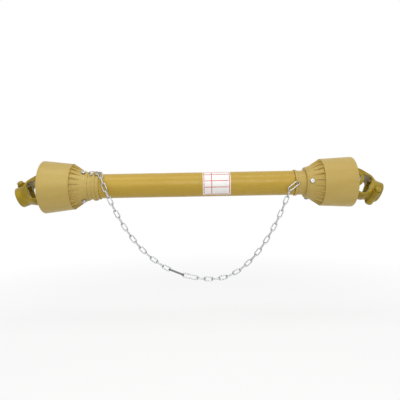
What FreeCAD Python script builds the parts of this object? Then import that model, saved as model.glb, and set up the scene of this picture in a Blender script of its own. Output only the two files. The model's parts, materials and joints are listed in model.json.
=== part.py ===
import FreeCAD, Part
import math
import os
import Sketcher
from FreeCAD import Placement, Rotation, Vector

# Universal joint shaft with a telescoping guard.
# X runs along the shaft, from the left yoke to the right one. Y points to the back and Z up.
# The origin is on the shaft's axis, in the middle of the guard.
# Each joint has its own frame: its centre is the cross, its +X points outward along the shaft.

# Driving sizes, in millimetres and degrees
SIZES = {
    # shaft and joints
    "cross_distance": 683.0,
    "joint_roll": 15.0,
    "droop_left": 22.0,
    "droop_right": 25.0,
    # guard cones
    "left_mouth_past_cross": 3.5,
    "right_mouth_past_cross": -2.5,
    "left_mouth_radius": 59.0,
    "left_shoulder_radius": 51.5,
    "left_bell_length": 62.0,
    "left_cone_length": 38.0,
    "left_cone_end_radius": 30.6,
    "left_neck_length": 10.5,
    "right_mouth_radius": 56.0,
    "right_shoulder_radius": 52.6,
    "right_bell_length": 66.0,
    "right_cone_length": 38.0,
    "right_cone_end_radius": 33.0,
    "right_neck_length": 18.0,
    "cone_wall": 2.5,
    "shoulder_lip": 4.0,
    "recess_depth": 4.5,
    "rib_reach": 20.0,
    "rib_thickness": 1.8,
    "rib_count": 22.0,
    "band_place": 34.5,
    "band_step": 0.8,
    # guard tubes
    "outer_tube_radius": 27.25,
    "guard_wall": 2.1,
    "guard_gap": 0.5,
    "seat_gap": 0.05,
    "tube_end_gap": 0.6,
    # chain collars
    "collar_flange": 5.6,
    "collar_sleeve": 8.0,
    "left_flange_radius": 32.5,
    "right_flange_radius": 29.2,
    "collar_wall": 2.4,
    "ear_hole_radius": 2.2,
    "ear_rim": 2.6,
    "ear_stand": 4.4,
    "ear_thickness": 3.6,
    "left_ear_angle": 54.0,
    "right_ear_angle": 6.0,
    # bearing rings and cone screws
    "left_ring_place": 87.0,
    "right_ring_place": 97.0,
    "ring_width": 6.0,
    "groove_radius": 22.0,
    "running_gap": 0.05,
    "ring_wall": 5.0,
    "screw_radius": 2.5,
    "screw_head_radius": 5.0,
    "screw_head_height": 2.6,
    "screw_depth": 9.0,
    "left_screw_angle": 57.0,
    "right_screw_angle": 4.5,
    # forks
    "ear_radius": 18.0,
    "window_half": 20.0,
    "window_corner": 9.0,
    "fork_half": 31.5,
    "throat": 36.0,
    "hub_radius": 23.0,
    "hub_end": 65.5,
    "tube_hub_radius": 24.5,
    "tube_hub_end": 104.5,
    "edge_round": 2.5,
    "overcut": 1.0,
    "press_gap": 0.02,
    # splined bore
    "spline_minor_radius": 15.0,
    "spline_major_radius": 17.45,
    "spline_slot_width": 8.7,
    "bore_chamfer": 1.6,
    # crosses and bearings
    "cap_radius": 11.0,
    "cap_outer": 27.4,
    "cap_floor": 2.4,
    "cap_length": 11.4,
    "trunnion_radius": 7.5,
    "shoulder_radius": 10.0,
    "shoulder_end": 13.6,
    "seal_thickness": 2.0,
    "snap_thickness": 1.4,
    "snap_depth": 1.2,
    # release pins
    "pin_radius": 4.5,
    "pin_offset": 20.2,
    "boss_radius": 9.0,
    "boss_half": 19.0,
    "pocket_radius": 7.0,
    "pocket_depth": 11.5,
    "pin_travel": 7.0,
    "head_length": 8.0,
    "spring_wire": 1.0,
    "spring_turns": 3.0,
    "retainer_thickness": 1.6,
    "left_pin_turn": 35.0,
    "right_pin_turn": 148.0,
    # telescoping profile tubes
    "profile_corner": 29.0,
    "profile_round": 8.0,
    "profile_wall": 3.5,
    "profile_gap": 0.3,
    "hub_socket": 42.0,
    "profile_end_gap": 46.0,
    "roll_pin_radius": 4.0,
    "roll_pin_bore": 2.2,
    # chain
    "wire": 2.5,
    "link_length": 21.4,
    "link_width": 10.4,
    "link_gap": 0.4,
    "left_links": 17.0,
    "right_links": 19.0,
    "left_clip_length": 26.0,
    "right_clip_length": 31.0,
    "right_clip_droop": 37.0,
    "end_clip_length": 37.0,
    "low_point_shift": 27.5,
    "left_fullness": 2.6,
    "right_fullness": 1.4,
    # blank label
    "label_start": 8.0,
    "label_length": 61.0,
    "label_thickness": 0.25,
    "label_low_angle": -58.0,
    "label_high_angle": 76.0,
}

SIDES = ("left", "right")

doc = FreeCAD.newDocument("UniversalJointShaft")
sheet = doc.addObject("Spreadsheet::Sheet", "Sizes")


class Dim:
    """A size that carries its number and the sheet expression that gives it."""

    def __init__(self, number, text):
        self.number = float(number)
        self.text = text

    def __float__(self):
        return self.number

    def _join(self, sign, other, number):
        other_text = other.text if isinstance(other, Dim) else repr(float(other))
        return Dim(number, "(" + self.text + " " + sign + " " + other_text + ")")

    def __add__(self, other):
        return self._join("+", other, self.number + float(other))

    def __sub__(self, other):
        return self._join("-", other, self.number - float(other))

    def __mul__(self, other):
        return self._join("*", other, self.number * float(other))

    def __truediv__(self, other):
        return self._join("/", other, self.number / float(other))

    def __neg__(self):
        return self * -1.0


class Sizes:
    """The sheet's cells by name."""

    def __init__(self, values):
        for row, (name, value) in enumerate(values.items(), start=1):
            sheet.set("A" + str(row), name)
            sheet.set("B" + str(row), str(value))
            sheet.setAlias("B" + str(row), name)
            setattr(self, name, Dim(value, "Sizes." + name))

    def of(self, side, name):
        """The size of that name on one side of the shaft."""
        return getattr(self, side + "_" + name)


S = Sizes(SIZES)
doc.recompute()

NOTHING = Dim(0, "0")
TURN_TO = {
    "x": Rotation(Vector(0, 1, 0), 90),
    "y": Rotation(Vector(1, 0, 0), -90),
    "z": Rotation(),
}
nodes = []


# ---------------------------------------------------------------- building helpers


def bind(item, values):
    """Tie each named property of an object to its sheet expression."""
    for path, size in values.items():
        item.setExpression(path, size.text if isinstance(size, Dim) else str(size))


def at(item, x, y, z):
    """Tie an object's place to the sheet."""
    bind(item, {"Placement.Base.x": x, "Placement.Base.y": y, "Placement.Base.z": z})


def cylinder(name, radius, length, place, axis, angle=None):
    item = doc.addObject("Part::Cylinder", name)
    item.Placement = Placement(Vector(), TURN_TO[axis])
    bind(item, {"Radius": radius, "Height": length})
    if angle is not None:
        bind(item, {"Angle": angle})
    at(item, *place)
    return item


def block(name, size, place):
    item = doc.addObject("Part::Box", name)
    bind(item, {"Length": size[0], "Width": size[1], "Height": size[2]})
    at(item, *place)
    return item


def cut(name, base, tool):
    item = doc.addObject("Part::Cut", name)
    item.Base = base
    item.Tool = tool
    return item


def fuse(name, items):
    item = doc.addObject("Part::MultiFuse", name)
    item.Shapes = items
    return item


def common(name, items):
    item = doc.addObject("Part::MultiCommon", name)
    item.Shapes = items
    return item


def made(name, shape):
    item = doc.addObject("Part::Feature", name)
    item.Shape = shape
    return item


def keep(item, label, placement=None):
    """Name a finished sub-part and put it in its place."""
    item.Label = label
    if placement is not None:
        item.Placement = placement
    nodes.append(item)
    return item


def sketch_in(body, role, name):
    sketch = body.newObject("Sketcher::SketchObject", name)
    plane = next(f for f in body.Origin.OriginFeatures if f.Role == role)
    sketch.AttachmentSupport = [(plane, "")]
    sketch.MapMode = "FlatFace"
    return sketch


def outline(sketch, points):
    """Draw a closed outline whose corners are held to the sheet's sizes."""
    count = len(points)
    corners = [Vector(float(x), float(y), 0) for x, y in points]
    first = sketch.GeometryCount
    for index in range(count):
        sketch.addGeometry(Part.LineSegment(corners[index], corners[(index + 1) % count]), False)
    for index in range(count):
        line, after = first + index, first + (index + 1) % count
        sketch.addConstraint(Sketcher.Constraint("Coincident", line, 2, after, 1))
    for index, (x, y) in enumerate(points):
        for kind, size in (("DistanceX", x), ("DistanceY", y)):
            line = first + index
            number = sketch.addConstraint(Sketcher.Constraint(kind, -1, 1, line, 1, float(size)))
            sketch.setExpression("Constraints[" + str(number) + "]", size.text)


def body_of(name):
    return doc.addObject("PartDesign::Body", name)


def revolve(body, name, points):
    """Turn an outline of (x, radius) corners about the body's X axis."""
    sketch = sketch_in(body, "XZ_Plane", name + "Sketch")
    outline(sketch, points)
    turned = body.newObject("PartDesign::Revolution", name)
    turned.Profile = sketch
    turned.ReferenceAxis = (sketch, ["H_Axis"])
    turned.Angle = 360
    return turned, sketch


def turned_body(name, points):
    body = body_of(name)
    revolve(body, name + "Turned", points)
    return body


def edges_where(feature, test):
    """Names of the edges of a feature that pass a test."""
    return ["Edge" + str(i + 1) for i, edge in enumerate(feature.Shape.Edges) if test(edge)]


def rim_edges(feature, radius, x):
    """Full circles about X with this radius at this place along X."""
    def is_rim(edge):
        curve = edge.Curve
        if not isinstance(curve, Part.Circle):
            return False
        return abs(curve.Radius - float(radius)) < 0.01 and abs(curve.Center.x - float(x)) < 0.01
    return edges_where(feature, is_rim)


def fillet(body, name, base, edges, radius):
    item = body.newObject("PartDesign::Fillet", name)
    item.Base = (base, edges)
    bind(item, {"Radius": radius})
    return item


# ---------------------------------------------------------------- frames of the joints

HALF_SPAN = S.cross_distance / 2

# The two frames face each other, so one profile is half a turn round for the tubes to slide together.
PROFILE_TURN = {"left": 0, "right": 180}


def side_frame(side):
    """Frame on the shaft's axis at the cross, +X outward."""
    if side == "left":
        return Placement(Vector(-float(HALF_SPAN), 0, 0), Rotation(Vector(0, 0, 1), 180))
    return Placement(Vector(float(HALF_SPAN), 0, 0), Rotation())


def joint_frame(side):
    """The side's frame, rolled so that its Y axis is the tube yoke's trunnion."""
    roll = float(S.joint_roll) if side == "left" else -float(S.joint_roll)
    return side_frame(side) * Placement(Vector(), Rotation(Vector(1, 0, 0), roll))


def yoke_frame(side):
    """The joint's frame, bent about the tube yoke's trunnion: +X is the end yoke's hub axis."""
    droop = float(S.droop_left if side == "left" else S.droop_right)
    return joint_frame(side) * Placement(Vector(), Rotation(Vector(0, 1, 0), droop))


def tube_yoke_frame(side):
    """The joint's frame for the tube yoke: ears on Y, hub inward."""
    turn = Rotation(Vector(0, 0, 1), 180) * Rotation(Vector(1, 0, 0), 90)
    return joint_frame(side) * Placement(Vector(), turn)


def around_front(angle):
    """Direction in the YZ plane at an angle above the front of the shaft."""
    turn = math.radians(float(angle))
    return Vector(0, -math.cos(turn), math.sin(turn))


# ---------------------------------------------------------------- guard cones

BELL = {
    side: {
        "mouth": NOTHING,
        "shoulder": S.of(side, "bell_length"),
        "cone_end": S.of(side, "bell_length") + S.of(side, "cone_length"),
        "neck_end": S.of(side, "bell_length") + S.of(side, "cone_length") + S.of(side, "neck_length"),
    }
    for side in SIDES
}

OUTER_TUBE_BORE = S.outer_tube_radius - S.guard_wall
INNER_TUBE_RADIUS = OUTER_TUBE_BORE - S.guard_gap
INNER_TUBE_BORE = INNER_TUBE_RADIUS - S.guard_wall
GUARD_TUBE_RADIUS = {"left": S.outer_tube_radius, "right": INNER_TUBE_RADIUS}


def cone_slope(side):
    """Radius lost per millimetre along the cone's flank, from the recess to the cone's end."""
    start = S.of(side, "shoulder_radius") - S.recess_depth
    return (start - S.of(side, "cone_end_radius")) / S.of(side, "cone_length")


def flank_radius(side, along):
    """Outer radius of the cone's flank, a distance past the shoulder."""
    start = S.of(side, "shoulder_radius") - S.recess_depth
    return start - cone_slope(side) * along


def guard_cone(side):
    """Bell, ribbed cone and neck. Local X runs from the mouth inward along the shaft."""
    place = BELL[side]
    mouth, shoulder = S.of(side, "mouth_radius"), S.of(side, "shoulder_radius")
    small = S.of(side, "cone_end_radius")
    neck = GUARD_TUBE_RADIUS[side] + S.collar_wall
    tube = GUARD_TUBE_RADIUS[side] + S.seat_gap
    wall = S.cone_wall
    band = place["shoulder"] + S.band_place
    body = body_of(side + "ConeBody")
    points = [
        (place["mouth"], mouth - wall),
        (place["mouth"], mouth),
        (place["shoulder"], shoulder),
        (place["shoulder"] + S.shoulder_lip, shoulder),
        (place["shoulder"] + S.shoulder_lip, flank_radius(side, S.shoulder_lip)),
        (band, flank_radius(side, S.band_place)),
        (band, flank_radius(side, S.band_place) + S.band_step),
        (place["cone_end"], small + S.band_step),
        (place["cone_end"], neck),
        (place["neck_end"], neck),
        (place["neck_end"], tube),
        (place["cone_end"] - wall, tube),
        (place["cone_end"] - wall, flank_radius(side, S.of(side, "cone_length") - wall) - wall),
        (place["shoulder"], flank_radius(side, NOTHING) - wall),
        (place["shoulder"] - S.shoulder_lip, shoulder - wall),
    ]
    shell, sketch = revolve(body, side + "ConeShell", points)
    doc.recompute()
    rims = rim_edges(shell, shoulder, place["shoulder"] + S.shoulder_lip)
    rims += rim_edges(shell, small + S.band_step, place["cone_end"])
    rounded = fillet(body, side + "ConeRound", shell, rims, wall * 0.7)

    rib_sketch = sketch_in(body, "XZ_Plane", side + "RibSketch")
    foot = place["shoulder"] + S.shoulder_lip
    sink = wall / 2
    rib_end = S.shoulder_lip + S.rib_reach
    outline(rib_sketch, [
        (foot - sink, flank_radius(side, S.shoulder_lip) - sink),
        (foot - sink, shoulder - sink),
        (foot + S.rib_reach * 0.25, shoulder - sink - S.rib_reach * 0.25 * 0.5),
        (place["shoulder"] + rib_end, flank_radius(side, rib_end) + S.band_step * 0.5),
        (place["shoulder"] + rib_end, flank_radius(side, rib_end) - sink),
    ])
    rib = body.newObject("PartDesign::Pad", side + "Rib")
    rib.Profile = rib_sketch
    rib.SideType = "Symmetric"
    bind(rib, {"Length": S.rib_thickness})
    doc.recompute()
    ring = body.newObject("PartDesign::PolarPattern", side + "Ribs")
    ring.Originals = [rib]
    ring.Axis = (sketch, ["H_Axis"])
    ring.Angle = 360
    bind(ring, {"Occurrences": S.rib_count})
    body.Tip = ring
    doc.recompute()

    holes = []
    for index, direction in enumerate(screw_directions(side)):
        hole = made(side + "ScrewHole" + str(index), screw_bore(side, direction))
        holes.append(hole)
    frame = side_frame(side) * Placement(Vector(float(S.of(side, "mouth_past_cross")), 0, 0),
                                         Rotation(Vector(0, 0, 1), 180))
    body.Placement = frame
    drilled = cut(side + "DrilledCone", body, fuse(side + "ScrewHoles", holes))
    keep(drilled, side + "_guard_cone")


# ---------------------------------------------------------------- screws of the cones


def screw_directions(side):
    """The three screws' directions, seen in the whole part's frame."""
    first = float(S.of(side, "screw_angle"))
    return [around_front(first + step * 120) for step in range(3)]


def screw_place(side):
    """Distance along X of the screws, and the cone's outer radius there."""
    from_shoulder = S.of(side, "ring_place") + S.of(side, "mouth_past_cross") - S.of(side, "bell_length")
    x = (HALF_SPAN - S.of(side, "ring_place")) * (-1.0 if side == "left" else 1.0)
    return float(x), float(flank_radius(side, from_shoulder))


def upright(place, direction):
    """Placement whose Z is a direction across the shaft, and whose X is the shaft's."""
    across = direction.cross(Vector(1, 0, 0))
    return Placement(place, Rotation(Vector(1, 0, 0), across, direction, "ZXY"))


def screw_bore(side, direction):
    x, radius = screw_place(side)
    start = Vector(x, 0, 0) + direction * (radius - float(S.screw_depth))
    length = float(S.screw_depth + S.screw_head_height * 2)
    return Part.makeCylinder(float(S.screw_radius + S.running_gap), length, start, direction)


def cone_screws(side):
    """Three round-headed screws that hold the bearing ring."""
    x, radius = screw_place(side)
    head_base = radius + float(cone_slope(side) * S.screw_head_radius + S.seat_gap * 2)
    shapes = []
    for direction in screw_directions(side):
        seat = Vector(x, 0, 0) + direction * head_base
        tip = seat - direction * float(S.screw_depth)
        shank = Part.makeCylinder(float(S.screw_radius), float(S.screw_depth), tip, direction)
        head_radius, head_height = float(S.screw_head_radius), float(S.screw_head_height)
        head = Part.makeCylinder(head_radius, head_height, seat, direction)
        head = head.makeFillet(head_height * 0.6, [head.Edges[0]])
        slot = Part.makeBox(1.2, head_radius * 3, head_height, Vector(-0.6, -head_radius * 1.5, 0))
        slot.Placement = upright(seat + direction * head_height * 0.55, direction)
        shapes.append(shank.fuse(head).cut(slot).removeSplitter())
    keep(made(side + "ConeScrews", Part.makeCompound(shapes)), side + "_cone_screws")


def bearing_ring(side):
    """Ring that runs in the yoke's groove and is screwed inside the cone."""
    half = S.ring_width / 2
    place = S.of(side, "ring_place")
    inner = S.groove_radius + S.running_gap
    from_shoulder = place + S.of(side, "mouth_past_cross") - S.of(side, "bell_length")
    wide = S.ring_width * 1.5
    big = flank_radius(side, from_shoulder - wide / 2) - S.cone_wall - S.seat_gap * 4
    small = flank_radius(side, from_shoulder + wide / 2) - S.cone_wall - S.seat_gap * 4
    rim = S.tube_hub_radius + S.ring_wall
    tongue = half - S.running_gap * 4
    points = [
        (place - tongue, inner), (place - tongue, rim), (place - wide / 2, rim),
        (place - wide / 2, big), (place + wide / 2, small), (place + wide / 2, rim),
        (place + tongue, rim), (place + tongue, inner),
    ]
    body = turned_body(side + "RingBody", points)
    body.Placement = side_frame(side) * Placement(Vector(), Rotation(Vector(0, 0, 1), 180))
    holes = [made(side + "RingHole" + str(i), screw_bore(side, d))
             for i, d in enumerate(screw_directions(side))]
    keep(cut(side + "Ring", body, fuse(side + "RingHoles", holes)), side + "_bearing_ring")


# ---------------------------------------------------------------- guard tubes and label

NECK_X = {side: HALF_SPAN + S.of(side, "mouth_past_cross") - BELL[side]["neck_end"] for side in SIDES}
COLLAR_END_X = {side: NECK_X[side] - S.collar_flange - S.collar_sleeve for side in SIDES}
RIGHT_COLLAR_FACE = NECK_X["right"] - S.collar_flange


def guard_tubes():
    seat = S.left_neck_length - S.tube_end_gap
    left_end = NECK_X["left"] + seat
    outer_length = left_end + RIGHT_COLLAR_FACE - S.tube_end_gap
    skin = cylinder("OuterGuardSkin", S.outer_tube_radius, outer_length, (-left_end, NOTHING, NOTHING), "x")
    hollow = cylinder("OuterGuardHollow", OUTER_TUBE_BORE, outer_length + S.overcut * 2,
                      (-left_end - S.overcut, NOTHING, NOTHING), "x")
    keep(cut("OuterGuardTube", skin, hollow), "outer_guard_tube")

    right_end = NECK_X["right"] + S.right_neck_length - S.tube_end_gap
    inner_length = right_end + NECK_X["left"]
    skin = cylinder("InnerGuardSkin", INNER_TUBE_RADIUS, inner_length,
                    (-NECK_X["left"], NOTHING, NOTHING), "x")
    hollow = cylinder("InnerGuardHollow", INNER_TUBE_BORE, inner_length + S.overcut * 2,
                      (-NECK_X["left"] - S.overcut, NOTHING, NOTHING), "x")
    keep(cut("InnerGuardTube", skin, hollow), "inner_guard_tube")


def blank_label():
    """Thin sheet stuck round the front of the outer guard tube."""
    sweep = S.label_high_angle - S.label_low_angle
    reach = S.label_length
    skin = cylinder("LabelSkin", S.outer_tube_radius + S.seat_gap + S.label_thickness, reach,
                    (NOTHING, NOTHING, NOTHING), "z", sweep)
    hollow = cylinder("LabelHollow", S.outer_tube_radius + S.seat_gap, reach + S.guard_wall * 2,
                      (NOTHING, NOTHING, -S.guard_wall), "z")
    sector = cut("Label", skin, hollow)
    top = around_front(S.label_high_angle)
    turn = Rotation(top, Vector(1, 0, 0).cross(top), Vector(1, 0, 0), "ZXY")
    keep(sector, "blank_label", Placement(Vector(float(S.label_start), 0, 0), turn))


# ---------------------------------------------------------------- chain collars


def ear_hole_place(side):
    """Centre of the ear's hole, and its distance from the shaft's axis."""
    flange = S.of(side, "flange_radius")
    if side == "left":
        reach = S.outer_tube_radius + S.ear_stand
    else:
        reach = flange + S.ear_hole_radius * 0.6
    sign = -1.0 if side == "left" else 1.0
    x = (NECK_X[side] - S.collar_flange / 2) * sign
    return Vector(float(x), 0, 0) + around_front(S.of(side, "ear_angle")) * float(reach), float(reach)


def chain_collar(side):
    """Ring on the guard tube with a flange and an ear for the chain's clip."""
    sign = -1.0 if side == "left" else 1.0
    tube = GUARD_TUBE_RADIUS[side] + S.seat_gap
    sleeve = tube + S.collar_wall
    start = NECK_X[side] - S.collar_flange
    flange = cylinder(side + "Flange", S.of(side, "flange_radius"), S.collar_flange,
                      ((start if sign > 0 else -NECK_X[side]), NOTHING, NOTHING), "x")
    parts = [flange]
    if side == "left":
        parts.append(cylinder(side + "Sleeve", sleeve, S.collar_sleeve, (-start, NOTHING, NOTHING), "x"))
    hole, reach = ear_hole_place(side)
    half = float(S.ear_thickness) / 2
    outward = around_front(S.of(side, "ear_angle"))
    radius = float(S.ear_hole_radius + S.ear_rim)
    tip = Part.makeCylinder(radius, half * 2, hole - Vector(half, 0, 0), Vector(1, 0, 0))
    inward = reach - float(tube) - 0.5
    root = Part.makeBox(half * 2, radius * 2, inward, Vector(-half, -radius, -inward))
    root.Placement = upright(hole, outward)
    parts.append(made(side + "EarTip", tip))
    parts.append(made(side + "EarRoot", root))
    bore = cylinder(side + "CollarBore", tube, S.collar_flange * 6, (NOTHING, NOTHING, NOTHING), "x")
    at(bore, (start - S.collar_flange if sign > 0 else -NECK_X[side] - S.collar_flange), NOTHING, NOTHING)
    drill = Part.makeCylinder(float(S.ear_hole_radius), half * 4, hole - Vector(half * 2, 0, 0),
                              Vector(1, 0, 0))
    tools = fuse(side + "CollarTools", [bore, made(side + "EarDrill", drill)])
    keep(cut(side + "Collar", fuse(side + "CollarSolid", parts), tools), side + "_chain_collar")


# ---------------------------------------------------------------- forks


def fork(name, hub_radius, hub_end):
    """Fork with its ears on Z and its hub along +X, before its bores are cut."""
    reach = S.fork_half
    neck = S.throat + S.edge_round * 4
    spread = S.ear_radius * 0.8
    wide = hub_radius + S.overcut
    shoulder = S.throat - S.edge_round
    side_view = body_of(name + "SideBody")
    sketch = sketch_in(side_view, "XZ_Plane", name + "SideSketch")
    outline(sketch, [
        (-S.ear_radius, -reach), (shoulder, -reach), (neck, -wide), (hub_end, -wide),
        (hub_end, wide), (neck, wide), (shoulder, reach), (-S.ear_radius, reach),
    ])
    pad = side_view.newObject("PartDesign::Pad", name + "Side")
    pad.Profile = sketch
    pad.SideType = "Symmetric"
    bind(pad, {"Length": reach * 2})

    top_view = body_of(name + "TopBody")
    sketch = sketch_in(top_view, "XY_Plane", name + "TopSketch")
    outline(sketch, [
        (NOTHING, -S.ear_radius), (spread, -S.ear_radius), (neck, -wide),
        (hub_end + S.overcut, -wide), (hub_end + S.overcut, wide), (neck, wide),
        (spread, S.ear_radius), (NOTHING, S.ear_radius),
    ])
    pad = top_view.newObject("PartDesign::Pad", name + "Top")
    pad.Profile = sketch
    pad.SideType = "Symmetric"
    bind(pad, {"Length": reach * 2 + S.overcut * 2})
    round_ears = cylinder(name + "Ears", S.ear_radius, reach * 2 + S.overcut * 2,
                          (NOTHING, NOTHING, -reach - S.overcut), "z")
    plan = fuse(name + "Plan", [top_view, round_ears])

    chamfer = S.edge_round
    envelope = turned_body(name + "Envelope", [
        (-S.ear_radius - S.overcut, NOTHING), (-S.ear_radius - S.overcut, reach - chamfer * 0.6),
        (-S.ear_radius * 0.5, reach + chamfer * 1.1), (S.ear_radius * 0.5, reach + chamfer * 1.1),
        (shoulder, reach - chamfer * 0.4), (neck + chamfer * 0.6, hub_radius),
        (hub_end - chamfer, hub_radius), (hub_end, hub_radius - chamfer), (hub_end, NOTHING),
    ])
    solid = common(name + "Solid", [side_view, plan, envelope])

    corner = S.window_corner
    flat = S.window_half - corner
    window = [
        block(name + "WindowBlock", (S.ear_radius * 2 + S.throat - corner, reach * 2, S.window_half * 2),
              (-S.ear_radius * 2, -reach, -S.window_half)),
        block(name + "WindowEnd", (corner + S.overcut, reach * 2, flat * 2),
              (S.throat - corner - S.overcut, -reach, -flat)),
    ]
    for end, middle in (("Low", -flat), ("High", flat)):
        window.append(cylinder(name + "WindowCorner" + end, corner, reach * 2,
                               (S.throat - corner, -reach, middle), "y"))
    bearing_bore = cylinder(name + "BearingBore", S.cap_radius + S.press_gap, reach * 2 + S.overcut * 4,
                            (NOTHING, NOTHING, -reach - S.overcut * 2), "z")
    grooves = []
    for end, sign in (("Low", -1.0), ("High", 1.0)):
        middle = S.cap_outer + S.snap_thickness / 2 + S.seat_gap
        start = middle * sign - S.snap_thickness / 2 - S.seat_gap
        grooves.append(cylinder(name + "Groove" + end, S.cap_radius + S.snap_depth,
                                S.snap_thickness + S.seat_gap * 2, (NOTHING, NOTHING, start), "z"))
    tools = window + [bearing_bore] + grooves
    return solid, tools


def loose(item, placement):
    """Give an item a placement of its own, free of the sheet."""
    for path in ("x", "y", "z"):
        item.setExpression("Placement.Base." + path, None)
    item.Placement = placement
    return item


def end_yoke(side):
    """Fork with a six-spline hub and the boss of its release pin."""
    name = side + "EndYoke"
    middle = (NOTHING, NOTHING, NOTHING)
    solid, tools = fork(name, S.hub_radius, S.hub_end)
    turn = Rotation(Vector(1, 0, 0), float(S.of(side, "pin_turn")))
    station = Placement(Vector(float(pin_station()), 0, 0), turn)
    boss = loose(cylinder(name + "Boss", S.boss_radius, S.boss_half * 2, middle, "y"),
                 station * pin_axis_start(-float(S.boss_half)))
    whole = fuse(name + "Whole", [solid, boss])

    length = (S.hub_end - S.throat + S.window_half) * 2
    bore = cylinder(name + "Bore", S.spline_minor_radius, length, middle, "x")
    slots = []
    for index in range(3):
        slot = block(name + "Slot" + str(index),
                     (length, S.spline_slot_width, S.spline_major_radius * 2), middle)
        slot_turn = Rotation(Vector(1, 0, 0), index * 60)
        corner = Vector(0, -float(S.spline_slot_width) / 2, -float(S.spline_major_radius))
        slots.append(loose(slot, Placement(slot_turn.multVec(corner), slot_turn)))
    cut_ring = cylinder(name + "MajorRing", S.spline_major_radius, length, middle, "x")
    slot_set = common(name + "SlotSet", [fuse(name + "Slots", slots), cut_ring])
    mouth = doc.addObject("Part::Cone", name + "Mouth")
    mouth.Placement = Placement(Vector(), TURN_TO["x"])
    bind(mouth, {"Radius1": S.spline_major_radius - S.bore_chamfer,
                 "Radius2": S.spline_major_radius + S.bore_chamfer, "Height": S.bore_chamfer * 2})
    at(mouth, S.hub_end - S.bore_chamfer, NOTHING, NOTHING)
    pin_bore = loose(cylinder(name + "PinBore", S.pin_radius + S.running_gap, S.boss_half * 4, middle, "y"),
                     station * pin_axis_start(-float(S.boss_half) * 2))
    pocket = loose(cylinder(name + "Pocket", S.pocket_radius, S.pocket_depth * 2, middle, "y"),
                   station * pin_axis_start(float(S.boss_half - S.pocket_depth)))
    tools += [bore, slot_set, mouth, pin_bore, pocket]
    result = cut(name, whole, fuse(name + "Tools", tools))
    keep(result, side + "_end_yoke", yoke_frame(side))


def pin_station():
    """Place of the release pin along the hub."""
    return S.hub_end - S.boss_radius - S.edge_round * 2


def pin_axis_start(along):
    """Placement of a piece that runs along the release pin's axis, in the turned hub's frame."""
    return Placement(Vector(0, along, float(S.pin_offset)), TURN_TO["y"])


def pin_frame(side):
    """Frame on the release pin's axis: +Z runs along the pin towards its button."""
    turn = Rotation(Vector(1, 0, 0), float(S.of(side, "pin_turn")))
    return yoke_frame(side) * Placement(Vector(float(pin_station()), 0, 0), turn) * pin_axis_start(0)


def tube_yoke(side):
    """Fork whose hub holds the profile tube and carries the guard's bearing ring."""
    name = side + "TubeYoke"
    solid, tools = fork(name, S.tube_hub_radius, S.tube_hub_end)
    socket_shape = profile_prism(name + "Socket", S.profile_corner + S.seat_gap * 2
                                 if side == "left" else inner_corner() + S.seat_gap * 2,
                                 S.profile_round if side == "left" else inner_round(),
                                 S.hub_socket + 2, PROFILE_TURN[side])
    at(socket_shape, S.tube_hub_end - S.hub_socket, NOTHING, NOTHING)
    pin = cylinder(name + "PinHole", S.roll_pin_radius + 0.01, S.tube_hub_radius * 2 + 2,
                   (roll_pin_station(), -S.tube_hub_radius - 1, NOTHING), "y")
    ring_middle = S.of(side, "ring_place")
    half = S.ring_width / 2
    groove = turned_body(name + "Groove", [
        (ring_middle - half, S.groove_radius), (ring_middle - half, S.tube_hub_radius + 5),
        (ring_middle + half, S.tube_hub_radius + 5), (ring_middle + half, S.groove_radius),
    ])
    result = cut(name, solid, fuse(name + "Tools", tools + [socket_shape, pin, groove]))
    keep(result, side + "_tube_yoke", tube_yoke_frame(side))


# ---------------------------------------------------------------- telescoping drive tubes


def inner_corner():
    return S.profile_corner - S.profile_wall * 2 - S.profile_gap * 2


def inner_round():
    return S.profile_round - S.profile_wall - S.profile_gap


def roll_pin_station():
    return S.tube_hub_end - S.hub_socket + S.roll_pin_radius * 2.5


def profile_prism(name, corner, rounding, length, turn):
    """Three-lobed prism along +X: a triangle with rounded corners, turned about X."""
    triangle = doc.addObject("Part::RegularPolygon", name + "Triangle")
    triangle.Polygon = 3
    bind(triangle, {"Circumradius": corner})
    prism = doc.addObject("Part::Extrusion", name + "Prism")
    prism.Base = triangle
    prism.DirMode = "Custom"
    prism.Dir = Vector(0, 0, 1)
    prism.Solid = True
    bind(prism, {"LengthFwd": length})
    doc.recompute()
    rounded = doc.addObject("Part::Fillet", name)
    rounded.Base = prism
    radius = float(rounding)
    rounded.Edges = [(i + 1, radius, radius) for i, edge in enumerate(prism.Shape.Edges)
                     if abs(edge.Length - float(length)) < 0.001
                     and abs(edge.Vertexes[0].Z - edge.Vertexes[-1].Z) > 1]
    rounded.Placement = Placement(Vector(), Rotation(Vector(1, 0, 0), turn) * TURN_TO["x"])
    return rounded


def profile_tube(name, corner, rounding, length, turn):
    skin = profile_prism(name + "Skin", corner, rounding, length, turn)
    hollow = profile_prism(name + "Hollow", corner - S.profile_wall * 2, rounding - S.profile_wall,
                           length + S.overcut * 2, turn)
    at(hollow, -S.overcut, NOTHING, NOTHING)
    return cut(name, skin, hollow)


def drive_tubes():
    """Outer profile tube on the left yoke, inner one on the right yoke."""
    start = HALF_SPAN - S.tube_hub_end + S.hub_socket - S.seat_gap
    length = start * 2 - S.profile_end_gap
    hole_length = (S.tube_hub_radius + S.overcut) * 2
    for side, label, corner, rounding in (
            ("left", "outer_profile_tube", S.profile_corner, S.profile_round),
            ("right", "inner_profile_tube", inner_corner(), inner_round())):
        tube = profile_tube(side + "Profile", corner, rounding, length, PROFILE_TURN[side])
        station = start - (S.hub_socket - (S.tube_hub_end - roll_pin_station())) - S.seat_gap
        hole = cylinder(side + "ProfilePinHole", S.roll_pin_radius + 0.01, hole_length,
                        (S.hub_socket - (S.tube_hub_end - roll_pin_station()) - S.seat_gap,
                         -hole_length / 2, NOTHING), "y")
        drilled = cut(side + "ProfileTube", tube, hole)
        inward = tube_yoke_frame(side) * Placement(
            Vector(float(S.tube_hub_end - S.hub_socket + S.seat_gap), 0, 0), Rotation())
        keep(drilled, label, inward)


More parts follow.
